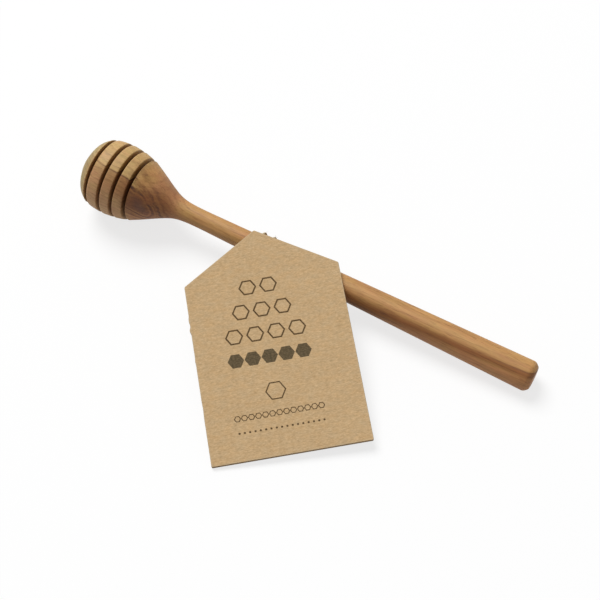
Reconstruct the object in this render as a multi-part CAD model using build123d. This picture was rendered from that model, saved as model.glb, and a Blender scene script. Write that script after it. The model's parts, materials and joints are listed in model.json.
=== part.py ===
from build123d import *
import math
import os

# Honey dipper of turned teak with a card tag on a twine loop, lying on a table. Millimetres.
# Stations are distances along the dipper's axis from the tip of its head.

# The turned dipper: one piece of wood from head to handle
dipper_length = 160.0
nose_length = 12.0
neck_station = 43.0
head_radius = 12.15
neck_radius = 3.08
handle_radius = 5.05
end_chamfer_length = 1.9
end_chamfer_depth = 1.6
end_rounding = 0.6
nose_shares = [(0.045, 0.485), (0.265, 0.835), (0.555, 0.967)]
cone_shares = [(0.13, 0.945), (0.26, 0.826), (0.45, 0.507), (0.645, 0.168), (0.775, 0.0375)]

# The four cut grooves, placed along the stretch from the tip to the neck
groove_width = 1.3
groove_core_radius = 6.9
groove_station_shares = [0.1335, 0.2545, 0.358, 0.458]
groove_lip_rounding = 0.2
groove_floor_rounding = 0.35

# The twine: two turns round the stem, tied in a knot on the underside. Shares are at each quarter turn
twine_diameter = 0.85
loop_station = 66.1
loop_spread = 3.6
loop_spread_shares = [-0.44, -0.5, -0.44, 0.0, 0.44, 0.5, 0.44]
knot_angle = 212.0
knot_lean = 14.0
knot_length = 2.6
knot_radius = 1.05
knot_mouth_share = 0.8
knot_gap = 0.1
knot_tail_reach = 2.1
knot_tail_spread = 3.4
knot_tail_drop = 2.0

# The kraft strip that holds the two turns to the back of the tag
strip_thickness = 0.18
strip_gap = 0.1
strip_end_gap = 0.3
strip_arc = 48.0
strip_head_tongue = 2.0
strip_handle_tongue = 3.6

# The card tag: a rectangle with a pointed roof
card_width = 48.6
card_side = 58.7
card_roof = 15.6
card_thickness = 1.3
card_corner_rounding = 0.8
card_turn = 38.7
card_tip_ahead = 4.4
card_tip_across = 0.95
card_over_loop_gap = 0.2
card_over_stem_gap = 0.35
card_crossing = 28.0


def stem_radius(station):
    """Radius of the straight taper from the neck to the handle's end."""
    taper = (handle_radius - neck_radius) / (dipper_length - neck_station)
    return neck_radius + (station - neck_station) * taper


# How the dipper lies: on the head's widest circle and on the handle's end edge
end_edge_station = dipper_length - end_chamfer_length
end_edge_radius = stem_radius(end_edge_station)
slope = math.degrees(math.asin((head_radius - end_edge_radius) / (end_edge_station - nose_length)))
slope_radians = math.radians(slope)
tip_height = head_radius * math.cos(slope_radians) + nose_length * math.sin(slope_radians)
lay = Pos(0, 0, tip_height) * Rot(0, slope, 0)


def laid(point):
    """A point of the dipper's own frame, axis along X, where it lies on the table."""
    return (lay * Pos(*point)).position


# The turned dipper
def dipper_outline():
    tip = (0, 0)
    widest = (nose_length, head_radius)
    neck = (neck_station, neck_radius)
    nose_points = [(along * nose_length, out * head_radius) for along, out in nose_shares]
    cone_length = neck_station - nose_length
    cone_height = head_radius - neck_radius
    cone_points = [(nose_length + along * cone_length, neck_radius + out * cone_height)
                   for along, out in cone_shares]
    stem_direction = (dipper_length - neck_station, handle_radius - neck_radius)
    nose = Spline(tip, *nose_points, widest, tangents=[(0, 1), (1, 0)])
    cone = Spline(widest, *cone_points, neck, tangents=[(1, 0), stem_direction])
    end_edge = (end_edge_station, end_edge_radius)
    end_face_edge = (dipper_length, end_edge_radius - end_chamfer_depth)
    rest = Polyline(neck, end_edge, end_face_edge, (dipper_length, 0), tip)
    return make_face(nose.edges() + cone.edges() + rest.edges())


def groove_ring(station):
    """One cut, square to the axis, down to the core."""
    outer = head_radius + groove_width
    ring = Rectangle(groove_width, outer - groove_core_radius, align=(Align.CENTER, Align.MIN))
    return revolve(Pos(station, groove_core_radius) * ring, Axis.X)


groove_stations = [share * neck_station for share in groove_station_shares]
dipper = revolve(dipper_outline(), Axis.X)
for station in groove_stations:
    dipper -= groove_ring(station)


def round_edges(station, low, high):
    """The dipper's full round edges at a station, between two radii."""
    found = []
    for edge in dipper.edges():
        radius = edge.length / (2 * math.pi)
        if abs(edge.center().X - station) < groove_lip_rounding and low < radius < high:
            found.append(edge)
    return found


core_margin = groove_floor_rounding / 2
wall_stations = [middle + side * groove_width / 2 for middle in groove_stations for side in (-1, 1)]
floor_band = (groove_core_radius - core_margin, groove_core_radius + core_margin)
lip_band = (groove_core_radius + core_margin, head_radius)
lips = [edge for station in wall_stations for edge in round_edges(station, *lip_band)]
dipper = fillet(lips, groove_lip_rounding)
floors = [edge for station in wall_stations for edge in round_edges(station, *floor_band)]
dipper = fillet(floors, groove_floor_rounding)
end_edges = [edge for station in (end_edge_station, dipper_length)
             for edge in round_edges(station, 0, head_radius)]
dipper = fillet(end_edges, end_rounding)

# The strip's reach along the axis, set by the two turns that it spans
strand_reach = loop_spread / 2 + twine_diameter / 2
strip_start = loop_station - strand_reach - strip_end_gap
strip_end = loop_station + strand_reach + strip_end_gap
strip_inner_radius = stem_radius(strip_end + strip_thickness) + strip_gap
strip_outer_radius = strip_inner_radius + strip_thickness

# The twine's turns lie just outside the strip
loop_radius = strip_outer_radius + strip_gap + twine_diameter / 2
loop_outer_radius = loop_radius + twine_diameter / 2
knot_lift = twine_diameter / 2 + knot_gap + knot_radius


def around(angle, radius, station):
    """A point of the dipper's own frame at an angle round its axis, from +Y towards +Z."""
    turn = math.radians(angle)
    return Vector(station, radius * math.cos(turn), radius * math.sin(turn))


def biarc(start, start_direction, end, end_direction):
    """Two arcs in space that meet in a common tangent."""
    across = end - start
    both = start_direction + end_direction
    bend = 2 * (1 - start_direction.dot(end_direction))
    along = across.dot(both)
    reach = (math.sqrt(along ** 2 + bend * across.dot(across)) - along) / bend
    first_corner = start + start_direction * reach
    second_corner = end - end_direction * reach
    middle = (first_corner + second_corner) / 2
    middle_direction = (second_corner - first_corner).normalized()
    return [TangentArc(start, middle, tangent=start_direction),
            TangentArc(middle, end, tangent=middle_direction)]


def tube(path_edges, start, direction):
    path = Wire(path_edges)
    section = Plane(origin=start, z_dir=direction) * Circle(twine_diameter / 2)
    return sweep(section, path=path)


# The twine's two turns, from the knot round to the knot again
knot_place = around(knot_angle, loop_radius + knot_lift, loop_station)
knot_round = around(knot_angle + 90, 1, 0)
lean = math.radians(knot_lean)
knot_direction = knot_round * math.cos(lean) - Vector(1, 0, 0) * math.sin(lean)
loop_start = knot_place + knot_direction * (knot_length / 2)
loop_end = knot_place - knot_direction * (knot_length / 2)
quarters = [around(knot_angle + 90 * (turn + 1), loop_radius, loop_station + share * loop_spread)
            for turn, share in enumerate(loop_spread_shares)]
quarter_run = loop_radius * math.pi / 2
stations = [loop_station] + [place.X for place in quarters] + [loop_station]
directions = []
for turn, place in enumerate(quarters):
    rise = (stations[turn + 2] - stations[turn]) / 2
    forward = around(knot_angle + 90 * (turn + 2), quarter_run, rise)
    directions.append(forward.normalized())
straight_out = loop_start + knot_direction * twine_diameter
straight_in = loop_end - knot_direction * twine_diameter
places = [straight_out] + quarters + [straight_in]
headings = [knot_direction] + directions + [knot_direction]
loop_edges = [Line(loop_start, straight_out)]
for number in range(len(places) - 1):
    loop_edges += biarc(places[number], headings[number], places[number + 1], headings[number + 1])
loop_edges.append(Line(straight_in, loop_end))
twine_loop = tube(loop_edges, loop_start, knot_direction)


def least_gap(edges, samples_per_edge):
    """Least distance between the twine's own surfaces, measured on points a half turn or more apart."""
    steps = range(samples_per_edge)
    points = [edge @ (step / samples_per_edge) for edge in edges for step in steps]
    half_turn = len(points) // (len(loop_spread_shares) + 1) * 2
    distances = [(points[first] - points[second]).length
                 for first in range(len(points))
                 for second in range(first + half_turn, len(points))]
    return min(distances) - twine_diameter


print("twine length", round(Wire(loop_edges).length, 2))
print("twine's least gap to itself", round(least_gap(loop_edges, samples_per_edge=24), 2))

# The knot: a tight lump with the twine's two cut ends hanging out of it
knot_outline = Plane(origin=knot_place, x_dir=knot_direction,
                     z_dir=knot_direction.cross(around(knot_angle, 1, 0)))
mouth = knot_radius * knot_mouth_share
knot_side = ThreePointArc((-knot_length / 2, mouth), (0, knot_radius), (knot_length / 2, mouth))
knot_closing = Polyline((knot_length / 2, mouth), (knot_length / 2, 0),
                        (-knot_length / 2, 0), (-knot_length / 2, mouth))
knot_face = knot_outline * make_face(knot_side.edges() + knot_closing.edges())
knot_axis = Axis(knot_place, knot_direction)
twine_knot = revolve(knot_face, knot_axis)
outward = around(knot_angle, 1, 0)
down = Vector(0, 0, -1)
for side in (-1, 1):
    sideways = Vector(side, 0, 0)
    tail_tip = knot_place + outward * knot_tail_reach + sideways * knot_tail_spread + down * knot_tail_drop
    tail_start = (outward + sideways).normalized()
    tail_end = (sideways + down).normalized()
    twine_knot += tube(biarc(knot_place, tail_start, tail_tip, tail_end), knot_place, tail_start)

# How the card lies: over the loop, over the stem at its right edge, and on one corner on the table
over_loop = laid(Vector(loop_station, 0, loop_outer_radius + card_over_loop_gap))
crossing_station = loop_station + card_crossing
over_stem = laid(Vector(crossing_station, 0, stem_radius(crossing_station) + card_over_stem_gap))
along_stem = (over_stem - over_loop).normalized()
level = along_stem.cross(Vector(0, 0, 1)).normalized()
above = level.cross(along_stem)
turn = math.radians(card_turn)
card_height = card_side + card_roof
corner_along = (card_height * math.sin(turn) - card_width / 2 * math.cos(turn)) - card_tip_ahead
corner_down = (card_height * math.cos(turn) + card_width / 2 * math.sin(turn)) - card_tip_across
corner_drop = over_loop.Z + along_stem.Z * corner_along
card_tilt = math.asin(corner_drop / (corner_down * above.Z))
downhill = level * math.cos(card_tilt) - above * math.sin(card_tilt)
card_back = Plane(origin=over_loop, x_dir=along_stem, z_dir=downhill.cross(along_stem))

half_width = card_width / 2
card_points = [(0, 0), (half_width, -card_roof), (half_width, -card_height),
               (-half_width, -card_height), (-half_width, -card_roof)]
card_outline = make_face(Polyline(*card_points, close=True).edges())
card_outline = fillet(card_outline.vertices(), card_corner_rounding)
card_place = Pos(-card_tip_ahead, card_tip_across) * Rot(0, 0, card_turn)
tag_card = card_back * extrude(card_place * card_outline, card_thickness)

# The strip: an arched bridge between the stem and the turns, two legs and two glued tongues
dipper_up = (lay * Pos(0, 0, 1)).position - (lay * Pos(0, 0, 0)).position
strip_angle = math.degrees(math.atan2(card_back.z_dir.dot(dipper_up), card_back.z_dir.Y))


def arched(start, end, low, high):
    """A sector about the dipper's axis, centred under the card."""
    block = Pos(start, low) * Rectangle(end - start, high - low, align=(Align.MIN, Align.MIN))
    sector = revolve(block, Axis.X, revolution_arc=strip_arc)
    return lay * Rot(strip_angle - strip_arc / 2, 0, 0) * sector


leg_top_radius = loop_outer_radius + card_thickness
bridge_start = strip_start - strip_thickness
bridge_end = strip_end + strip_thickness
tag_strip = arched(bridge_start, bridge_end, strip_inner_radius, strip_outer_radius)
tag_strip += arched(bridge_start, strip_start, strip_inner_radius, leg_top_radius)
tag_strip += arched(strip_end, bridge_end, strip_inner_radius, leg_top_radius)
clear_of_card = card_back * Box(dipper_length, card_height, leg_top_radius,
                                align=(Align.CENTER, Align.CENTER, Align.MIN))
tag_strip -= clear_of_card

# The tongues lie on the card's back, in line with the stem, and start inside the legs
tongue_width = 2 * loop_outer_radius * math.sin(math.radians(strip_arc / 2))
tongue_across = -(loop_outer_radius + card_over_loop_gap) * math.sin(card_tilt)
head_tongue_length = strip_head_tongue + strip_thickness
handle_tongue_length = strip_handle_tongue + strip_thickness
head_tongue_middle = strip_start - loop_station - head_tongue_length / 2
handle_tongue_middle = strip_end - loop_station + handle_tongue_length / 2
tongues = [(head_tongue_length, head_tongue_middle), (handle_tongue_length, handle_tongue_middle)]
for length, middle in tongues:
    tongue = Box(length, tongue_width, strip_thickness, align=(Align.CENTER, Align.CENTER, Align.MAX))
    tag_strip += card_back * Pos(middle, tongue_across) * tongue

parts = {
    "turned_dipper": lay * dipper,
    "twine_loop": lay * twine_loop,
    "twine_knot": lay * twine_knot,
    "tag_card": tag_card,
    "tag_strip": tag_strip,
}

# The origin is under the middle of the whole, on the table
whole = Compound(children=[shape.solid() for shape in parts.values()]).bounding_box()
centre = Vector(-(whole.min.X + whole.max.X) / 2, -(whole.min.Y + whole.max.Y) / 2, -whole.min.Z)
os.makedirs("parts", exist_ok=True)
for name, shape in parts.items():
    export_step(Pos(*centre) * shape, f"parts/{name}.step")


def report(label, vector):
    print(label, [round(value, 3) for value in (vector.X, vector.Y, vector.Z)])


report("origin moved by", centre)
report("stem axis through", laid(Vector(loop_station, 0, 0)) + centre)
report("stem direction", laid(Vector(1, 0, 0)) - laid(Vector(0, 0, 0)))
report("handle end centre", laid(Vector(dipper_length, 0, 0)) + centre)
report("card back at the loop", card_back.origin + centre)
report("card normal", card_back.z_dir)
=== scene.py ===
import json
import math
import random

import bpy
from mathutils import Matrix, Vector


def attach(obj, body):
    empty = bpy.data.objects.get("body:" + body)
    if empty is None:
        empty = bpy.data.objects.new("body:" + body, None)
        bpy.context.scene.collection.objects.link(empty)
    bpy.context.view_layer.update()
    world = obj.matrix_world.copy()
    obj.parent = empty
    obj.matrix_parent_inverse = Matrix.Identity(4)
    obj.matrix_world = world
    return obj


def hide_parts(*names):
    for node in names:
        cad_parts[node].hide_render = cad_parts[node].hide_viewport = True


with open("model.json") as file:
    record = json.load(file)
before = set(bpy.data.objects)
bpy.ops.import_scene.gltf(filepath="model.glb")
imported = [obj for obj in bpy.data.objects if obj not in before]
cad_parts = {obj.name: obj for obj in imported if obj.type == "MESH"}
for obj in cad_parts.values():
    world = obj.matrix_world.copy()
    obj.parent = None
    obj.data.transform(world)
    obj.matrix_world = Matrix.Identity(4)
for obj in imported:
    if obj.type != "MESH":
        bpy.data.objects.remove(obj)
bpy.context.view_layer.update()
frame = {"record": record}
mm = 0.001

# The camera stands in front of the table, a little to the right, and looks down on the object.
# Its place and lens give the photograph's perspective in a square picture.
camera_place = Vector((122.31, -195.27, 369.27)) * mm
camera_heading = math.radians(118.742)
camera_pitch = math.radians(55.963)
camera_turn = (math.pi / 2 - camera_pitch, 0, camera_heading - math.pi / 2)
bpy.ops.object.camera_add(location=camera_place, rotation=camera_turn)
camera = bpy.context.object
camera.name = "camera"
camera.data.sensor_width = 36.0
camera.data.lens = 83.89
camera.data.clip_start = 10 * mm
bpy.context.scene.camera = camera

# The dipper is turned on a lathe from one stick of teak: a grooved round head, a cone that curves in to
# a thin neck, and a handle that thickens to its chamfered end. It is sanded fine and left bare.
# All lengths here are in millimetres along the stick, from the tip of the head, and its radius there.
dipper_length = 160.0
nose_outline = [(0.1, 0), (0.14, 2.55), (0.42, 5.1), (0.72, 5.75), (2.05, 8.4), (3.3, 9.93),
                (4.8, 11.0), (6.66, 11.7), (9.3, 12.07), (12.0, 12.15)]
cone_outline = [(16.03, 11.65), (20.06, 10.57), (23, 9.22), (25.95, 7.68), (29, 6.06), (32, 4.6),
                (34, 3.86), (36.03, 3.42), (39, 3.15), (43, 3.08)]
stem_outline = [(43, 3.06), (157.9, 4.93)]
groove_middles = [5.74, 10.94, 15.39, 19.69]
groove_width = 1.3
groove_core = 6.9
groove_shade_depth = 2.0
lip_rounding = 0.2
floor_rounding = 0.35
end_outline = [(157.9, 4.92), (158.35, 4.87), (158.7, 4.74), (159.05, 4.5), (159.55, 4.05), (159.8, 3.78),
               (159.94, 3.5), (160.0, 3.1), (160.0, 0.0)]
turns_of_dipper = 144

handle_mount = frame["record"]["mounts"][0]
handle_end = Vector(handle_mount["pos_m"])
stem_direction = Vector(handle_mount["axis"]).normalized()
dipper_tip = handle_end - stem_direction * dipper_length * mm
dipper_slope = math.asin(-stem_direction.z)
dipper_turn = Matrix.Rotation(dipper_slope, 4, "Y")
dipper_place = Matrix.Translation(dipper_tip) @ dipper_turn @ Matrix.Scale(mm, 4)


def smooth_outline(knots, step):
    """Points about one step apart on a smooth curve through the knots."""
    slopes = []
    for number, knot in enumerate(knots):
        before = knots[max(number - 1, 0)]
        after = knots[min(number + 1, len(knots) - 1)]
        reach = math.dist(before, after)
        slopes.append(((after[0] - before[0]) / reach, (after[1] - before[1]) / reach))
    points = [knots[0]]
    for number in range(len(knots) - 1):
        start, end = knots[number], knots[number + 1]
        run = math.dist(start, end)
        pieces = max(1, round(run / step))
        for piece in range(1, pieces + 1):
            t = piece / pieces
            a = 2 * t ** 3 - 3 * t ** 2 + 1
            b = t ** 3 - 2 * t ** 2 + t
            c = t ** 3 - t ** 2
            leaving, arriving = slopes[number], slopes[number + 1]
            points.append(tuple(a * start[i] + (1 - a) * end[i] + (b * leaving[i] + c * arriving[i]) * run
                                for i in (0, 1)))
    return points


def radius_at(outline, station):
    """Radius of an outline at a station."""
    for before, after in zip(outline, outline[1:]):
        if before[0] <= station <= after[0] and after[0] > before[0]:
            share = (station - before[0]) / (after[0] - before[0])
            return before[1] + share * (after[1] - before[1])
    return outline[-1][1]


def with_grooves(outline):
    """The outline with its square-cut grooves, their lips and floors rounded."""
    cut = []
    walls = [(middle - groove_width / 2, middle + groove_width / 2) for middle in groove_middles]
    for point in outline:
        passed = [wall for wall in walls if wall[0] - lip_rounding < point[0]]
        while walls and passed:
            low, high = walls.pop(0)
            passed.pop(0)
            lip, far_lip = radius_at(outline, low), radius_at(outline, high)
            r, f = lip_rounding, floor_rounding
            bends = [math.radians(angle) for angle in (0, 30, 60, 90)]
            down = [(low - r + r * math.sin(bend), lip - r + r * math.cos(bend)) for bend in bends]
            steps = [(low, lip - r - (lip - r - groove_core - f) * share) for share in (0.25, 0.5, 0.75)]
            floor = [(low + f - f * math.cos(bend), groove_core + f - f * math.sin(bend)) for bend in bends]
            left = down + steps + floor
            up = [(low + high - s, radius if radius < groove_core + f else radius + far_lip - lip)
                  for s, radius in reversed(left)]
            cut += left + up
        if all(abs(point[0] - middle) >= groove_width / 2 + lip_rounding for middle in groove_middles):
            cut.append(point)
    return cut


head_outline = smooth_outline(nose_outline, 0.45)
head_outline += smooth_outline([nose_outline[-1]] + cone_outline, 0.6)[1:]
stem_points = smooth_outline(stem_outline, 2.5)[1:-1]
dipper_points = with_grooves(head_outline) + stem_points + end_outline


def start_mesh(name):
    """A new mesh in edit mode, holding one vertex at the origin."""
    bpy.ops.object.select_all(action="DESELECT")
    bpy.ops.mesh.primitive_plane_add(size=1)
    bpy.context.object.name = name
    bpy.ops.object.mode_set(mode="EDIT")
    bpy.ops.mesh.merge(type="CENTER")
    return bpy.context.object


dipper = start_mesh("dipper")
here = Vector((0, 0, 0))
for station, radius in dipper_points[1:]:
    there = Vector((station, 0, radius))
    bpy.ops.mesh.extrude_region_move(TRANSFORM_OT_translate={"value": there - here})
    here = there
bpy.ops.mesh.select_all(action="SELECT")
bpy.ops.mesh.spin(steps=turns_of_dipper, angle=2 * math.pi, center=(0, 0, 0), axis=(1, 0, 0))
bpy.ops.mesh.select_all(action="SELECT")
bpy.ops.mesh.remove_doubles(threshold=0.001)
bpy.ops.mesh.normals_make_consistent(inside=False)
bpy.ops.object.mode_set(mode="OBJECT")
# How deep each point lies in a groove, which sets the painted shade in the grooves
groove_painted_shade = dipper.data.attributes.new("groove_painted_shade", "FLOAT", "POINT")
for number, vertex in enumerate(dipper.data.vertices):
    station, radius = vertex.co.x, math.hypot(vertex.co.y, vertex.co.z)
    near = any(abs(station - middle) < groove_width for middle in groove_middles)
    depth = radius_at(head_outline, station) - radius if near else 0.0
    groove_painted_shade.data[number].value = min(1.0, max(0.0, depth / groove_shade_depth))
dipper.data.transform(dipper_place)
bpy.ops.object.shade_smooth_by_angle(angle=math.radians(40))
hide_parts("turned_dipper")
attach(dipper, "dipper")


def new_material(name, piece):
    """A material with only its Principled shader and output, set on the piece."""
    material = bpy.data.materials.new(name)
    material.use_nodes = True
    piece.data.materials.clear()
    piece.data.materials.append(material)
    return material.node_tree, material.node_tree.nodes["Principled BSDF"]


def add(tree, kind, inputs=(), **settings):
    """A node with its settings, its inputs set to values or linked from other sockets."""
    node = tree.nodes.new(kind)
    for name, value in settings.items():
        setattr(node, name, value)
    for place, value in dict(inputs).items():
        socket = node.inputs[place]
        if isinstance(value, bpy.types.NodeSocket):
            tree.links.new(value, socket)
        else:
            socket.default_value = value
    return node


def math_node(tree, operation, *values, clamp=False):
    """A Math node's result."""
    node = add(tree, "ShaderNodeMath", dict(enumerate(values)), operation=operation, use_clamp=clamp)
    return node.outputs[0]


def product(tree, first, *others):
    """Masks or values multiplied together."""
    for other in others:
        first = math_node(tree, "MULTIPLY", first, other)
    return first


def weighted_sum(tree, start, parts):
    """Parts added to a starting value, each by its weight."""
    for part, weight in parts:
        start = math_node(tree, "MULTIPLY_ADD", part, weight, start)
    return start


def about_zero(tree, value):
    """Noise, which lies about 0.5, moved to lie about 0."""
    return math_node(tree, "SUBTRACT", value, 0.5)


def smooth_step(tree, value, low, high):
    """From 0 at low to 1 at high, softly."""
    node = add(tree, "ShaderNodeMapRange", {"Value": value, "From Min": low, "From Max": high},
               interpolation_type="SMOOTHSTEP")
    return node.outputs["Result"]


def blend_colours(tree, share, first, second, mode="MIX"):
    """Two colours mixed by a share, or multiplied."""
    node = add(tree, "ShaderNodeMix", {0: share, 6: first, 7: second}, data_type="RGBA", blend_type=mode)
    return node.outputs[2]


def colour(red, green, blue):
    """A colour as it looks on screen, in the linear values that shaders take."""
    def linear(value):
        value = value / 255
        return value / 12.92 if value <= 0.04045 else ((value + 0.055) / 1.055) ** 2.4
    return (linear(red), linear(green), linear(blue), 1.0)


def soft_noise(tree, vector, density, detail=2.0, roughness=0.5):
    """Noise about 0.5, with so many features a millimetre along each axis."""
    spread = add(tree, "ShaderNodeMapping", {"Vector": vector, "Scale": density}).outputs[0]
    inputs = {"Vector": spread, "Scale": 1.0, "Detail": detail, "Roughness": roughness}
    return add(tree, "ShaderNodeTexNoise", inputs).outputs["Fac"]


def curve_over(tree, distance, places, reach, low, high):
    """A value that is given at some distances, from 0 to reach, and runs smoothly between them."""
    share = math_node(tree, "DIVIDE", distance, reach, clamp=True)
    node = add(tree, "ShaderNodeFloatCurve", {"Value": share})
    points = node.mapping.curves[0].points
    ends = [points[0], points[1]]
    for point, (at, value) in zip(ends, (places[0], places[-1])):
        point.location = (at / reach, (value - low) / (high - low))
    for at, value in places[1:-1]:
        points.new(at / reach, (value - low) / (high - low))
    node.mapping.update()
    return math_node(tree, "MULTIPLY_ADD", node.outputs[0], high - low, low)


# Teak: golden wood with a browner layer that runs along the stick, from a fine dark line on the head
# down the front of the handle. A knot lies in the cone's side. The pores are short cuts along the grain.
light_wood = colour(184, 136, 79)
head_wood = colour(190, 152, 95)
red_wood = colour(184, 128, 78)
rosy_wood = colour(190, 146, 98)
brown_wood = colour(136, 84, 37)
cone_wood = colour(158, 104, 68)
knot_wood = colour(108, 68, 50)
ring_width = 1.35
end_line_gap = 0.95
end_grain_tint = (0.70, 0.84, 0.95, 1)
knot_station = 24.3
knot_turn = math.radians(157)
# The light wood lies to the side that this angle gives, turned up from the far side
light_side = math.radians(60)
# Along the stick: the brown layer's edge across it, how soft that edge is, how strong the layer is,
# and how far down it fades out
layer_edge = [(0, 7.9), (8.5, 7.5), (13, 7.15), (17.5, 6.6), (18.8, 6.3), (20.5, 4.7), (24, 4.3),
              (29, 4.4), (31.5, 3.6), (34, 2.0), (42, 0.0), (90, 0.5), (97, 1.3), (105, 1.35),
              (117, 1.5), (130, 1.75), (143, 2.3), (152, 2.7), (160, 3.0)]
layer_softness = [(0, 0.15), (18, 0.18), (21, 0.6), (24, 1.0), (28, 1.8), (36, 1.6), (90, 1.7),
                  (105, 1.55), (125, 1.2), (145, 0.8), (160, 0.5)]
# Beside the card, where the layer starts on the handle, it is made stronger to paint the card's shadow
# there too
layer_and_card_shadow_strength = [(0, 0.15), (8, 0.25), (13, 0.5), (17.5, 0.75), (21, 0.85), (26, 0.9), (31, 0.78),
                  (35, 0.25), (39, 0.06), (88, 0.1), (97, 0.9), (110, 1.0), (145, 1.0), (160, 0.95)]
layer_depth = [(0, 8.0), (18, 9.0), (21, 14.0), (34, 12.0), (60, 7.0), (98, 7.5), (110, 5.5),
               (125, 3.6), (140, 2.9), (160, 2.5)]
# How much the cone's redder wood covers, along the stick
cone_cover = [(0, 0), (22, 0), (26, 0.35), (29, 0.6), (31.5, 0.6), (35, 0.2), (40, 0), (160, 0)]

tree, shader = new_material("teak", dipper)
place = add(tree, "ShaderNodeTexCoord").outputs["Object"]
lie = {"Vector": place, "Location": dipper_tip, "Rotation": (0, dipper_slope, 0), "Scale": (mm, mm, mm)}
stick = add(tree, "ShaderNodeMapping", lie, vector_type="TEXTURE").outputs[0]
station, side, height = add(tree, "ShaderNodeSeparateXYZ", {0: stick}).outputs
across = weighted_sum(tree, 0.0, [(side, math.cos(light_side)), (height, math.sin(light_side))])
wander = math_node(tree, "MULTIPLY_ADD", soft_noise(tree, stick, (0.04, 0.13, 0.13), 2.0), 1.2, -0.6)
edge = curve_over(tree, station, layer_edge, dipper_length, -1, 9)
depth = math_node(tree, "ADD", math_node(tree, "SUBTRACT", across, edge), wander)
softness = curve_over(tree, station, layer_softness, dipper_length, 0, 3)
inside = math_node(tree, "DIVIDE", depth, softness)
layer = smooth_step(tree, inside, 1.0, -1.0)
fade = math_node(tree, "DIVIDE", depth, curve_over(tree, station, layer_depth, dipper_length, 0, 15))
strength = curve_over(tree, station, layer_and_card_shadow_strength, dipper_length, 0, 1)
layer = product(tree, layer, smooth_step(tree, fade, -1.0, -0.3), strength)

# Fine wood grain, drawn out along the stick
fibre = soft_noise(tree, stick, (0.16, 2.2, 2.2), 4.0, 0.62)
fine_fibre = soft_noise(tree, stick, (0.45, 8.0, 8.0), 2.0, 0.6)
patches = soft_noise(tree, stick, (0.09, 0.35, 0.35), 3.0, 0.55)
pore = smooth_step(tree, soft_noise(tree, stick, (0.25, 3.4, 3.4), 1.0), 0.62, 0.72)

# Growth rings: faint lines on the head and neck, and the fine dark line where the brown layer starts
ring_place = weighted_sum(tree, depth, [(about_zero(tree, patches), 0.9)])
in_ring = math_node(tree, "FRACT", math_node(tree, "DIVIDE", ring_place, ring_width))
ring_line = product(tree, smooth_step(tree, in_ring, 0.45, 0.92), smooth_step(tree, in_ring, 1.0, 0.94))
on_head = smooth_step(tree, station, 23.0, 19.0)
off_edge = math_node(tree, "ABSOLUTE", math_node(tree, "ADD", depth, 0.05))
behind_nose = smooth_step(tree, station, 5.0, 6.8)
dark_line = product(tree, smooth_step(tree, off_edge, 0.32, 0.1), on_head, behind_nose)

# Near the handle's end two hair-fine dark lines follow the brown layer's edge
from_pair = math_node(tree, "ADD", depth, 0.6)
in_line = math_node(tree, "FRACT", math_node(tree, "DIVIDE", from_pair, end_line_gap))
off_line = math_node(tree, "ABSOLUTE", about_zero(tree, in_line))
pair_only = smooth_step(tree, math_node(tree, "ABSOLUTE", from_pair), end_line_gap, end_line_gap - 0.1)
end_line = product(tree, smooth_step(tree, off_line, 0.26, 0.08), pair_only,
                   smooth_step(tree, station, 144.0, 150.0), smooth_step(tree, fibre, 0.35, 0.55))

# The knot, a small branch's foot in the near side of the cone. The grain comes along the stick, slants
# down to the knot and bends round it, so its rings are drawn out towards the head.
along = math_node(tree, "SUBTRACT", station, knot_station)
aside = weighted_sum(tree, 0.0, [(height, math.cos(knot_turn)), (side, -math.sin(knot_turn))])
outward = weighted_sum(tree, 0.0, [(height, math.sin(knot_turn)), (side, math.cos(knot_turn))])
above = weighted_sum(tree, 0.0, [(aside, -0.171), (along, 0.103)])
beyond = math_node(tree, "MULTIPLY", math_node(tree, "MAXIMUM", along, 0.0), 0.147)
round_knot = add(tree, "ShaderNodeCombineXYZ", {0: above, 1: beyond}).outputs[0]
knot_distance = add(tree, "ShaderNodeVectorMath", {0: round_knot}, operation="LENGTH").outputs["Value"]
unevenness = soft_noise(tree, stick, (0.25, 0.42, 0.42), 3.0, 0.45)
knot_distance = weighted_sum(tree, knot_distance, [(about_zero(tree, unevenness), 0.3)])
knot_side = smooth_step(tree, outward, 1.0, 3.5)
knot_heart = product(tree, smooth_step(tree, knot_distance, 0.55, 0.1), knot_side,
                     smooth_step(tree, station, 20.5, 23.8))
knot_rings = [(0, 0.3), (0.3, 0.35), (0.4, 0.45), (0.5, -0.1), (0.54, 0.1), (0.6, 0.9), (0.67, 0.55),
              (0.73, -0.1), (0.78, 0.3), (0.84, 0.2), (0.9, 0.7), (0.97, 0.75), (1.03, 0.1),
              (1.1, -0.1), (1.2, 0.1), (1.3, 0.45), (1.38, 0.1), (1.6, 0.0), (2.0, 0.0)]
knot_line = curve_over(tree, knot_distance, knot_rings, 2.0, -0.5, 1)
ring_gaps = soft_noise(tree, stick, (0.3, 0.3, 0.3), 2.0)
knot_line = product(tree, knot_line, smooth_step(tree, ring_gaps, 0.25, 0.55), knot_side,
                    smooth_step(tree, station, 17.0, 21.0))

wood = blend_colours(tree, on_head, light_wood, head_wood)
lower_wood = blend_colours(tree, on_head, red_wood, rosy_wood)
lower_share = product(tree, smooth_step(tree, depth, -0.3, -3.0), smooth_step(tree, station, 3.0, 7.0))
wood = blend_colours(tree, lower_share, wood, lower_wood)
wood = blend_colours(tree, curve_over(tree, station, cone_cover, dipper_length, 0, 1), wood, cone_wood)
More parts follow.
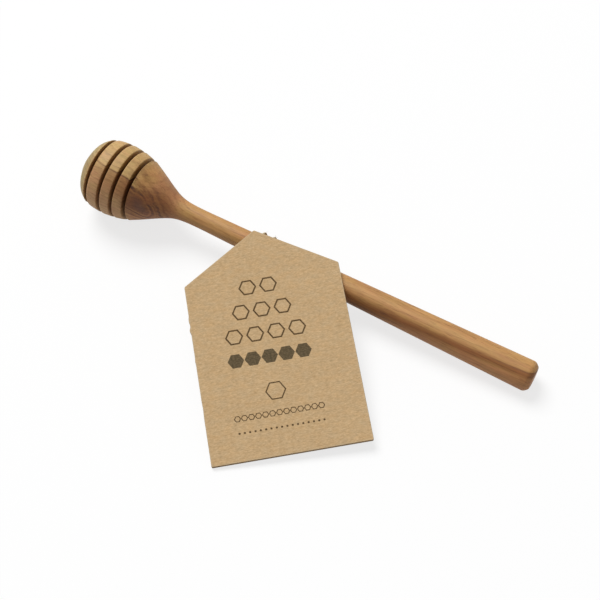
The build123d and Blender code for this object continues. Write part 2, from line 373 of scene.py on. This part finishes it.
# The brown layer; beside the card it is also the card's painted shadow on the handle
wood = blend_colours(tree, layer, wood, brown_wood)
wood = blend_colours(tree, math_node(tree, "MULTIPLY", knot_heart, 0.75), wood, knot_wood)
tone = weighted_sum(tree, 1.03, [
    (ring_line, -0.14), (dark_line, -0.4), (knot_line, -0.65), (end_line, -0.38),
    (about_zero(tree, fibre), 0.75), (about_zero(tree, fine_fibre), 0.4), (about_zero(tree, patches), 0.4),
    (pore, -0.3)])
# Deep in the grooves the wood is painted darker: painted shade in the recesses
groove = add(tree, "ShaderNodeAttribute", attribute_name="groove_painted_shade").outputs["Fac"]
tone = product(tree, tone, math_node(tree, "MULTIPLY_ADD", groove, -0.5, 1.0))
tint = about_zero(tree, soft_noise(tree, stick, (0.14, 0.5, 0.5), 3.0, 0.6))
pinker = math_node(tree, "MULTIPLY_ADD", tint, 0.16, 1.0)
less_green = math_node(tree, "MULTIPLY_ADD", tint, -0.16, 1.0)
tones = {0: product(tree, tone, pinker), 1: product(tree, math_node(tree, "POWER", tone, 1.25), less_green),
         2: product(tree, math_node(tree, "POWER", tone, 1.5), pinker)}
tone_colour = add(tree, "ShaderNodeCombineColor", tones).outputs[0]
wood = blend_colours(tree, 1.0, wood, tone_colour, "MULTIPLY")
# The nose shows its end grain, which is darker and greyer
on_nose = smooth_step(tree, station, 6.0, 3.0)
wood = blend_colours(tree, on_nose, wood, end_grain_tint, "MULTIPLY")
shader.inputs["Specular IOR Level"].default_value = 0.5
tree.links.new(wood, shader.inputs["Base Color"])
tree.links.new(math_node(tree, "MULTIPLY_ADD", fibre, 0.2, 0.5), shader.inputs["Roughness"])
grain_height = math_node(tree, "MULTIPLY_ADD", pore, -0.7, fine_fibre)
bump = add(tree, "ShaderNodeBump", {"Height": grain_height, "Strength": 0.25, "Distance": 0.06 * mm})
tree.links.new(bump.outputs[0], shader.inputs["Normal"])

# The tag is a house-shaped piece of thick kraft card, die-cut and printed on one side. Its back lies on
# the twine and its lowest corner on the table. Cutting has left its rim a little crushed.
tag_tip = Vector((-17.96027, 30.12806, 16.2111)) * mm
tag_across = Vector((0.78639, 0.615345, 0.05423))
tag_down = Vector((0.613638, -0.768076, -0.183051))
tag_front = tag_down.cross(tag_across)
tag_width = 48.6
tag_side = 58.7
tag_roof = 15.6
tag_thickness = 1.3
tag_corner_rounding = 0.4
# Small tears on its left side: how far down, how far they stand out, and how far they reach
tag_tears = [(22.0, 0.16, 5.0), (27.0, 0.22, 1.6), (30.3, 0.34, 1.3), (40.6, 0.12, 1.2), (56.0, -0.1, 3.0)]
tag_rim_rounding = 0.14
tag_axes = Matrix((tag_across, -tag_down, tag_front)).transposed().to_4x4()
tag_place = Matrix.Translation(tag_tip) @ tag_axes @ Matrix.Scale(mm, 4)

bpy.ops.object.select_all(action="DESELECT")
bpy.ops.mesh.primitive_plane_add(size=1, location=(0, -tag_roof - tag_side / 2, 0))
card = bpy.context.object
card.name = "card_tag"
card.scale = (tag_width, tag_side, 1)
bpy.ops.object.transform_apply(location=True, rotation=False, scale=True)


def select_only(piece, wanted, kind="VERT"):
    """In edit mode, selects the vertices or edges that wanted() picks by their place."""
    bpy.ops.object.mode_set(mode="EDIT")
    bpy.ops.mesh.select_mode(type=kind)
    bpy.ops.mesh.select_all(action="DESELECT")
    bpy.ops.object.mode_set(mode="OBJECT")
    mesh = piece.data
    if kind == "VERT":
        for vertex in mesh.vertices:
            vertex.select = wanted(vertex.co)
    else:
        for edge in mesh.edges:
            edge.select = wanted(*[mesh.vertices[index].co for index in edge.vertices])
    bpy.ops.object.mode_set(mode="EDIT")


select_only(card, lambda a, b: a.y > -tag_roof - 0.1 and b.y > -tag_roof - 0.1, "EDGE")
bpy.ops.mesh.subdivide(number_cuts=1)
select_only(card, lambda place: place.y > -tag_roof - 0.1 and abs(place.x) < 0.1)
bpy.ops.transform.translate(value=(0, tag_roof, 0))
bpy.ops.mesh.select_all(action="SELECT")
bpy.ops.mesh.bevel(offset=tag_corner_rounding, segments=4, affect="VERTICES")
left_side = -tag_width / 2 + 0.01
select_only(card, lambda a, b: a.x < left_side and b.x < left_side, "EDGE")
bpy.ops.mesh.subdivide(number_cuts=120)
for down, out, reach in tag_tears:
    select_only(card, lambda place: place.x < left_side + 0.6 and abs(place.y + down) < 0.26)
    bpy.ops.transform.translate(value=(-out, 0, 0), use_proportional_edit=True,
                                use_proportional_connected=True, proportional_edit_falloff="SMOOTH",
                                proportional_size=reach)
bpy.ops.mesh.select_all(action="SELECT")
bpy.ops.mesh.extrude_region_move(TRANSFORM_OT_translate={"value": (0, 0, -tag_thickness)})
bpy.ops.mesh.select_all(action="SELECT")
bpy.ops.mesh.normals_make_consistent(inside=False)
bpy.ops.object.mode_set(mode="OBJECT")
rim = card.modifiers.new("rim", "BEVEL")
rim.width = tag_rim_rounding
rim.segments = 3
rim.limit_method = "ANGLE"
rim.angle_limit = math.radians(60)
bpy.ops.object.modifier_apply(modifier="rim")
card.data.transform(tag_place)
bpy.ops.object.shade_smooth_by_angle(angle=math.radians(60))
flat_faces = card.modifiers.new("flat_faces", "WEIGHTED_NORMAL")
flat_faces.keep_sharp = True
bpy.ops.object.modifier_apply(modifier="flat_faces")
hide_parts("tag_card")
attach(card, "tag")

# Kraft paper: brown pulp with fibres that lie mostly across the card, darker specks and a few pale ones
kraft = bpy.data.node_groups.new("kraft_paper", "ShaderNodeTree")
for name, kind in (("Vector", "NodeSocketVector"), ("Paper", "NodeSocketColor")):
    kraft.interface.new_socket(name, in_out="INPUT", socket_type=kind)
for name, kind in (("Color", "NodeSocketColor"), ("Height", "NodeSocketFloat")):
    kraft.interface.new_socket(name, in_out="OUTPUT", socket_type=kind)
given = add(kraft, "NodeGroupInput").outputs
pulp = soft_noise(kraft, given["Vector"], (0.55, 1.4, 1.0), 3.0, 0.6)
threads = soft_noise(kraft, given["Vector"], (1.2, 3.4, 2.0), 3.0, 0.65)
specks = soft_noise(kraft, given["Vector"], (1.1, 1.8, 1.0), 1.0)
clouds = soft_noise(kraft, given["Vector"], (0.09, 0.13, 0.1), 2.0)
dark_specks = smooth_step(kraft, specks, 0.77, 0.81)
pale_specks = smooth_step(kraft, specks, 0.26, 0.2)
tone = weighted_sum(kraft, 1.0, [
    (about_zero(kraft, pulp), 0.55), (about_zero(kraft, threads), 0.85), (about_zero(kraft, clouds), 0.12),
    (dark_specks, -0.4), (pale_specks, 0.1)])
warmth = about_zero(kraft, soft_noise(kraft, given["Vector"], (0.3, 0.5, 0.4), 2.0))
warmer = math_node(kraft, "MULTIPLY_ADD", warmth, 0.14, 1.0)
less_blue = math_node(kraft, "MULTIPLY_ADD", warmth, -0.2, 1.0)
tones = {0: product(kraft, tone, warmer), 1: math_node(kraft, "POWER", tone, 1.1),
         2: product(kraft, math_node(kraft, "POWER", tone, 1.3), less_blue)}
tone_colour = add(kraft, "ShaderNodeCombineColor", tones).outputs[0]
paper = blend_colours(kraft, 1.0, given["Paper"], tone_colour, "MULTIPLY")
result = add(kraft, "NodeGroupOutput")
kraft.links.new(paper, result.inputs["Color"])
kraft.links.new(threads, result.inputs["Height"])

# One row of the print: hexagons, outlined or filled, side by side. All in millimetres on the card.
hexagons = bpy.data.node_groups.new("row_of_hexagons", "ShaderNodeTree")
hexagons.interface.new_socket("Vector", in_out="INPUT", socket_type="NodeSocketVector")
for name in ("Across", "Down", "Count", "Pitch", "Radius", "Stroke", "Filled"):
    hexagons.interface.new_socket(name, in_out="INPUT", socket_type="NodeSocketFloat")
hexagons.interface.new_socket("Ink", in_out="OUTPUT", socket_type="NodeSocketFloat")
given = add(hexagons, "NodeGroupInput").outputs
x, y, z = add(hexagons, "ShaderNodeSeparateXYZ", {0: given["Vector"]}).outputs
last = math_node(hexagons, "SUBTRACT", given["Count"], 1.0)
from_first = math_node(hexagons, "SUBTRACT", x, given["Across"])
half_count = math_node(hexagons, "MULTIPLY", last, 0.5)
from_first = math_node(hexagons, "MULTIPLY_ADD", half_count, given["Pitch"], from_first)
number = math_node(hexagons, "ROUND", math_node(hexagons, "DIVIDE", from_first, given["Pitch"]))
number = math_node(hexagons, "MAXIMUM", math_node(hexagons, "MINIMUM", number, last), 0.0)
cell_middle = math_node(hexagons, "MULTIPLY", number, given["Pitch"])
x = math_node(hexagons, "ABSOLUTE", math_node(hexagons, "SUBTRACT", from_first, cell_middle))
y = math_node(hexagons, "ABSOLUTE", math_node(hexagons, "ADD", y, given["Down"]))
slanted = weighted_sum(hexagons, 0.0, [(y, math.sin(math.radians(30))), (x, math.cos(math.radians(30)))])
outside = math_node(hexagons, "SUBTRACT", math_node(hexagons, "MAXIMUM", slanted, y), given["Radius"])
half_stroke = math_node(hexagons, "MULTIPLY", given["Stroke"], 0.5)
off_line = math_node(hexagons, "SUBTRACT", math_node(hexagons, "ABSOLUTE", outside), half_stroke)
outline_or_cell = {0: given["Filled"], 2: off_line, 3: outside}
edge = add(hexagons, "ShaderNodeMix", outline_or_cell, data_type="FLOAT").outputs[0]
result = add(hexagons, "NodeGroupOutput")
hexagons.links.new(smooth_step(hexagons, edge, 0.06, -0.06), result.inputs["Ink"])

tree, shader = new_material("kraft_card", card)
place = add(tree, "ShaderNodeTexCoord").outputs["Object"]
tag_turn = tag_place.to_3x3().normalized().to_euler()
lie = {"Vector": place, "Location": tag_tip, "Rotation": tag_turn, "Scale": (mm, mm, mm)}
on_card = add(tree, "ShaderNodeMapping", lie, vector_type="TEXTURE").outputs[0]
kraft_colour = colour(201, 170, 128)
rim_colour = colour(203, 184, 154)
# The cut side's dark colour is painted shade on the card's edge
shaded_cut_side = colour(118, 92, 64)
cut_pale = colour(182, 150, 112)
thin_ink_colour = colour(64, 46, 24)
bold_ink_colour = colour(70, 62, 46)
card_paper = add(tree, "ShaderNodeGroup", node_tree=kraft)
tree.links.new(on_card, card_paper.inputs["Vector"])
card_paper.inputs["Paper"].default_value = kraft_colour
# The print's middle line, and its rows: how far down, how many cells, their pitch, radius and stroke,
# and whether they are filled
print_middle = -1.8
thin_rows = [(19.2, 2, 6.5, 2.2, 0.5, 0.0), (27.1, 3, 6.5, 2.2, 0.5, 0.0), (34.9, 4, 6.5, 2.2, 0.5, 0.0),
             (54.0, 1, 1.0, 2.6, 0.4, 0.0), (61.0, 13, 2.12, 0.8, 0.28, 0.0),
             (65.6, 17, 1.6, 0.32, 0.3, 1.0)]
bold_row = (42.7, 5, 5.2, 2.2, 0.4, 1.0)


def print_row(cells):
    """The ink of one printed row."""
    row = add(tree, "ShaderNodeGroup", node_tree=hexagons)
    tree.links.new(on_card, row.inputs["Vector"])
    row.inputs["Across"].default_value = print_middle
    for name, value in zip(("Down", "Count", "Pitch", "Radius", "Stroke", "Filled"), cells):
        row.inputs[name].default_value = value
    return row.outputs["Ink"]


thin_ink = 0.0
for cells in thin_rows:
    thin_ink = math_node(tree, "MAXIMUM", thin_ink, print_row(cells))
bold_ink = print_row(bold_row)
# The rim is crushed pale by the cutting die. The cut side shows layered pulp, and its darkness is painted
# shade on the card's edge
x, y, z = add(tree, "ShaderNodeSeparateXYZ", {0: on_card}).outputs
x = math_node(tree, "ABSOLUTE", x)
roof_length = math.hypot(tag_width / 2, tag_roof)
from_roof = weighted_sum(tree, 0.0, [(y, -tag_width / 2 / roof_length), (x, -tag_roof / roof_length)])
from_side = math_node(tree, "SUBTRACT", tag_width / 2, x)
from_foot = math_node(tree, "ADD", y, tag_roof + tag_side)
inward = math_node(tree, "MINIMUM", math_node(tree, "MINIMUM", from_side, from_foot), from_roof)
crushed = smooth_step(tree, soft_noise(tree, on_card, (0.5, 0.5, 0.5), 3.0), 0.3, 0.6)
crushed = product(tree, crushed, smooth_step(tree, inward, 0.6, 0.1), 0.45)
# Where the cut side is painted darker as shade
cut = product(tree, smooth_step(tree, inward, 0.2, 0.08), smooth_step(tree, z, -0.08, -0.2), 0.8)
layers = soft_noise(tree, on_card, (0.6, 0.6, 7.0), 2.0)
cut_side_with_shade = blend_colours(tree, layers, shaded_cut_side, cut_pale)
paper = blend_colours(tree, crushed, card_paper.outputs["Color"], rim_colour)
paper = blend_colours(tree, cut, paper, cut_side_with_shade)
# The ink has sunk unevenly into the pulp
sinking = soft_noise(tree, on_card, (1.6, 2.4, 1.0), 3.0, 0.6)
ink_cover = math_node(tree, "MULTIPLY_ADD", sinking, 0.5, 0.62, clamp=True)
printed = blend_colours(tree, product(tree, thin_ink, ink_cover), paper, thin_ink_colour)
printed = blend_colours(tree, product(tree, bold_ink, ink_cover), printed, bold_ink_colour)
tree.links.new(printed, shader.inputs["Base Color"])
shader.inputs["Roughness"].default_value = 0.95
shader.inputs["Specular IOR Level"].default_value = 0.1
paper_relief = {"Height": card_paper.outputs["Height"], "Strength": 0.3, "Distance": 0.05 * mm}
bump = add(tree, "ShaderNodeBump", paper_relief)
tree.links.new(bump.outputs[0], shader.inputs["Normal"])

# The twine is thin three-ply jute, wound twice round the stem and tied in a small knot under it, with
# two short cut ends. It can be pushed along the stem.
twine_diameter = 0.85
loop_radius = 4.32
loop_station = 66.1
# The turns stand a little off the stem behind the card
slack_angle = 52.0
slack = 0.4
loop_spread = 3.6
loop_shares = [0, -0.44, -0.5, -0.44, 0.0, 0.44, 0.5, 0.44, 0]
knot_angle = 212.0
knot_lift = 1.575
ply_radius = twine_diameter / 2 / (1 + 2 / math.sqrt(3))
ply_offset = ply_radius * 2 / math.sqrt(3)
twist_length = 2.6
fray_unwinding = 0.25
fray_parting = 1.6
hair_radius = 0.018
points_a_turn = 12


def around_stem(angle, radius, station):
    """A place round the stem's axis, in millimetres."""
    turn = math.radians(angle)
    return Vector((station, radius * math.cos(turn), radius * math.sin(turn)))


def route_through(points):
    """Close points on the smooth spline that the given points steer."""
    curve = bpy.data.curves.new("route", "CURVE")
    curve.dimensions = "3D"
    curve.resolution_u = 8
    spline = curve.splines.new("NURBS")
    spline.points.add(len(points) - 1)
    for steered, point in zip(spline.points, points):
        steered.co = (*point, 1)
    spline.order_u = 3
    spline.use_endpoint_u = True
    steering = bpy.data.objects.new("route", curve)
    bpy.context.scene.collection.objects.link(steering)
    line = bpy.data.meshes.new_from_object(steering)
    route = [vertex.co.copy() for vertex in line.vertices]
    bpy.data.objects.remove(steering)
    return route


def tube_along(points, radius):
    """A thin round thread along a line of close points, as a curve object."""
    curve = bpy.data.curves.new("thread", "CURVE")
    curve.dimensions = "3D"
    curve.bevel_depth = radius
    curve.bevel_resolution = 1
    curve.use_fill_caps = True
    spline = curve.splines.new("POLY")
    spline.points.add(len(points) - 1)
    for place, point in zip(spline.points, points):
        place.co = (*point, 1)
    thread = bpy.data.objects.new("thread", curve)
    bpy.context.scene.collection.objects.link(thread)
    return thread


def twisted(route, plies=3, fray=0.0):
    """Plies wound about each other along a route. They part over the last fray millimetres."""
    threads = []
    length = sum((b - a).length for a, b in zip(route, route[1:]))
    for ply in range(plies):
        points = []
        run = 0.0
        for number, point in enumerate(route):
            ahead = (route[min(number + 1, len(route) - 1)] - route[max(number - 1, 0)]).normalized()
            if number:
                run += (point - route[number - 1]).length
            outward = Vector((0.1, point.y, point.z))
            outward = (outward - ahead * outward.dot(ahead)).normalized()
            sideways = ahead.cross(outward)
            loose = max(0.0, run - length + fray) / fray if fray else 0.0
            turn = 2 * math.pi * (run * (1 - fray_unwinding * loose) / twist_length + ply / plies)
            away = ply_offset * (1 + fray_parting * loose * loose)
            points.append(point + (outward * math.cos(turn) + sideways * math.sin(turn)) * away)
        threads.append(tube_along(points, ply_radius))
    return threads


def hairs_on(route, count, reach):
    """Fine loose fibres that stand off the twine."""
    threads = []
    for _ in range(count):
        number = chance.randrange(2, len(route) - 4)
        point = route[number]
        ahead = (route[number + 2] - route[number - 2]).normalized()
        aside = Vector((chance.gauss(0, 1), chance.gauss(0, 1), chance.gauss(0, 1)))
        aside = (aside - ahead * aside.dot(ahead)).normalized()
        if aside.dot(Vector((0, point.y, point.z))) < 0:
            aside = -aside
        along = ahead * chance.uniform(0.6, 1.4) * chance.choice((-1, 1))
        bow = chance.uniform(0.3, 0.9)
        length = reach * chance.uniform(0.4, 1.0)
        points = []
        for step in range(6):
            share = step / 5
            lift = twine_diameter * 0.38 + length * share * (1 - bow * share * 0.6)
            points.append(point + aside * lift + along * length * share)
        threads.append(tube_along(points, hair_radius))
    return threads


def as_one_mesh(name, threads):
    """The threads joined in one mesh, in its place on the dipper."""
    bpy.ops.object.select_all(action="DESELECT")
    for thread in threads:
        thread.select_set(True)
    bpy.context.view_layer.objects.active = threads[0]
    bpy.ops.object.convert(target="MESH")
    bpy.ops.object.join()
    whole = bpy.context.object
    whole.name = name
    whole.data.transform(dipper_place)
    bpy.ops.object.shade_smooth()
    return whole


# A steered spline runs inside its points, so these stand a little further out than the twine
chance = random.Random(11)
outside = loop_radius / math.cos(math.pi / points_a_turn)
loop_steering = []
for number in range(2 * points_a_turn + 1):
    turn = number * 8 / (2 * points_a_turn)
    quarter = min(int(turn), 7)
    share = turn - quarter
    ease = share * share * (3 - 2 * share)
    place = loop_shares[quarter] * (1 - ease) + loop_shares[quarter + 1] * ease
    away = max(0.0, 1 - turn, turn - 7)
    lift = knot_lift * away * away * (3 - 2 * away)
    angle = knot_angle + 90 * turn
    lift += slack * max(0.0, math.cos(math.radians(angle - slack_angle))) ** 4
    loop_steering.append(around_stem(angle, outside + lift, loop_station + place * loop_spread))
loop_route = route_through(loop_steering)
loop = as_one_mesh("twine_turns", twisted(loop_route) + hairs_on(loop_route, 46, 1.3))
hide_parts("twine_loop")
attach(loop, "loop")

# Jute: pale tan fibres along each ply, darker between the plies, dull and a little hairy. Its pale tan is
# lifted lighter as painted light, to soften the twine's shade
pale_jute_and_painted_light = colour(226, 208, 176)
jute_dark = colour(168, 142, 106)

tree, shader = new_material("jute_twine", loop)
place = add(tree, "ShaderNodeTexCoord").outputs["Object"]
in_mm = add(tree, "ShaderNodeMapping", {"Vector": place, "Scale": (1000, 1000, 1000)}).outputs[0]
strands = soft_noise(tree, in_mm, (7, 7, 7), 3.0, 0.6)
blotches = soft_noise(tree, in_mm, (0.9, 0.9, 0.9), 2.0)
share = math_node(tree, "MULTIPLY_ADD", blotches, 0.5, math_node(tree, "MULTIPLY", strands, 0.5))
jute = blend_colours(tree, smooth_step(tree, share, 0.32, 0.62), jute_dark, pale_jute_and_painted_light)
tree.links.new(jute, shader.inputs["Base Color"])
shader.inputs["Roughness"].default_value = 0.9
shader.inputs["Specular IOR Level"].default_value = 0.2
bump = add(tree, "ShaderNodeBump", {"Height": strands, "Strength": 0.5, "Distance": 0.05 * mm})
tree.links.new(bump.outputs[0], shader.inputs["Normal"])

# The knot is the same twine drawn tight: three wraps about its own two ends, which are cut short and
# have begun to fray. It lies under the stem, a little to the front, and goes with the loop.
knot_lean = math.radians(14)
knot_radius = 1.05
knot_length = 2.6
wraps = 3
tail_reach = 2.1
tail_spread = 3.4
tail_drop = 2.0

knot_place = around_stem(knot_angle, loop_radius + knot_lift, loop_station)
knot_along = around_stem(knot_angle + 90, 1, 0) * math.cos(knot_lean)
knot_along -= Vector((1, 0, 0)) * math.sin(knot_lean)
knot_out = around_stem(knot_angle, 1, 0)
knot_side = knot_along.cross(knot_out)
wrap_radius = knot_radius - twine_diameter / 2
wrap_steering = []
for number in range(wraps * points_a_turn + 1):
    turn = 2 * math.pi * number / points_a_turn
    share = number / (wraps * points_a_turn) - 0.5
    swell = 1 - 0.5 * share * share
    wrap_steering.append(knot_place + knot_along * (knot_length - twine_diameter * 0.9) * share
                         + (knot_out * math.cos(turn) + knot_side * math.sin(turn)) * wrap_radius * swell)
wrap_route = route_through(wrap_steering)
knot_threads = twisted(wrap_route) + hairs_on(wrap_route, 14, 1.1)
for side in (-1, 1):
    aside = Vector((side, 0, 0))
    down = Vector((0, 0, -1))
    tail_steering = [knot_place + aside * 0.3, knot_place + knot_out * 1.0 + aside * 1.0,
                     knot_place + knot_out * 1.9 + aside * 1.9 + down * 0.2,
                     knot_place + knot_out * 2.2 + aside * 2.9 + down * 0.9,
                     knot_place + knot_out * tail_reach + aside * tail_spread + down * tail_drop]
    tail_route = route_through(tail_steering)
    knot_threads += twisted(tail_route, fray=1.4) + hairs_on(tail_route, 12, 1.2)
knot = as_one_mesh("twine_wraps", knot_threads)
knot.data.materials.append(loop.data.materials[0])
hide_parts("twine_knot")
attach(knot, "loop")

# The strip is kraft paper, folded over the twine and glued by its two tongues to the back of the card.
strip = bpy.data.objects["tag_strip"]
tree, shader = new_material("kraft_strip", strip)
place = add(tree, "ShaderNodeTexCoord").outputs["Object"]
lie = {"Vector": place, "Location": tag_tip, "Rotation": tag_turn, "Scale": (mm, mm, mm)}
on_strip = add(tree, "ShaderNodeMapping", lie, vector_type="TEXTURE").outputs[0]
strip_paper = add(tree, "ShaderNodeGroup", node_tree=kraft)
tree.links.new(on_strip, strip_paper.inputs["Vector"])
strip_paper.inputs["Paper"].default_value = colour(188, 154, 112)
tree.links.new(strip_paper.outputs["Color"], shader.inputs["Base Color"])
shader.inputs["Roughness"].default_value = 0.8
paper_relief = {"Height": strip_paper.outputs["Height"], "Strength": 0.3, "Distance": 0.03 * mm}
bump = add(tree, "ShaderNodeBump", paper_relief)
tree.links.new(bump.outputs[0], shader.inputs["Normal"])

# The floor is a plain white studio table. The camera sees it white, with the object's soft shadow.
bpy.ops.object.select_all(action="DESELECT")
bpy.ops.mesh.primitive_plane_add(size=8.0)
floor = bpy.context.object
floor.name = "floor"
floor_shade = 0.62
floor_glow = 0.75


def seen_directly(tree):
    """1 where the camera, a reflection or clear glass shows the surface, and 0 for its light."""
    seen = add(tree, "ShaderNodeLightPath").outputs
    directly = math_node(tree, "MAXIMUM", seen["Is Glossy Ray"], seen["Is Transmission Ray"])
    return math_node(tree, "MAXIMUM", seen["Is Camera Ray"], directly)


tree, shader = new_material("white_floor", floor)
directly = seen_directly(tree)
floor_colour = blend_colours(tree, directly, (floor_shade, floor_shade, floor_shade, 1), (1, 1, 1, 1))
tree.links.new(floor_colour, shader.inputs["Base Color"])
shader.inputs["Roughness"].default_value = 1.0
shader.inputs["Specular IOR Level"].default_value = 0.0
glow = add(tree, "ShaderNodeEmission", {"Color": (1, 1, 1, 1), "Strength": 1.0}).outputs[0]
softened = {0: math_node(tree, "MULTIPLY", directly, floor_glow), 1: shader.outputs[0], 2: glow}
softer = add(tree, "ShaderNodeMixShader", softened)
tree.links.new(softer.outputs[0], tree.nodes["Material Output"].inputs["Surface"])

# The studio's walls give a dim, even light, and are seen white
world = bpy.data.worlds.new("studio")
bpy.context.scene.world = world
world.use_nodes = True
tree = world.node_tree
ambient_level = 0.25
studio_light = tree.nodes["Background"]
brightness = math_node(tree, "MULTIPLY_ADD", seen_directly(tree), 1 - ambient_level, ambient_level)
tree.links.new(brightness, studio_light.inputs["Strength"])
studio_light.inputs["Color"].default_value = (1, 1, 1, 1)

# One large soft lamp, over the head and a little behind the dipper
key_direction = Vector((-0.50, 0.26, 0.82)).normalized()
key_distance = 6.0
bpy.ops.object.light_add(type="AREA", location=key_direction * key_distance)
key = bpy.context.object
key.name = "soft_lamp"
key.data.shape = "DISK"
key.data.size = 3.84
key.data.energy = 345.0
key.rotation_euler = key_direction.to_track_quat("Z", "Y").to_euler()

bpy.context.scene.view_settings.view_transform = "Standard"
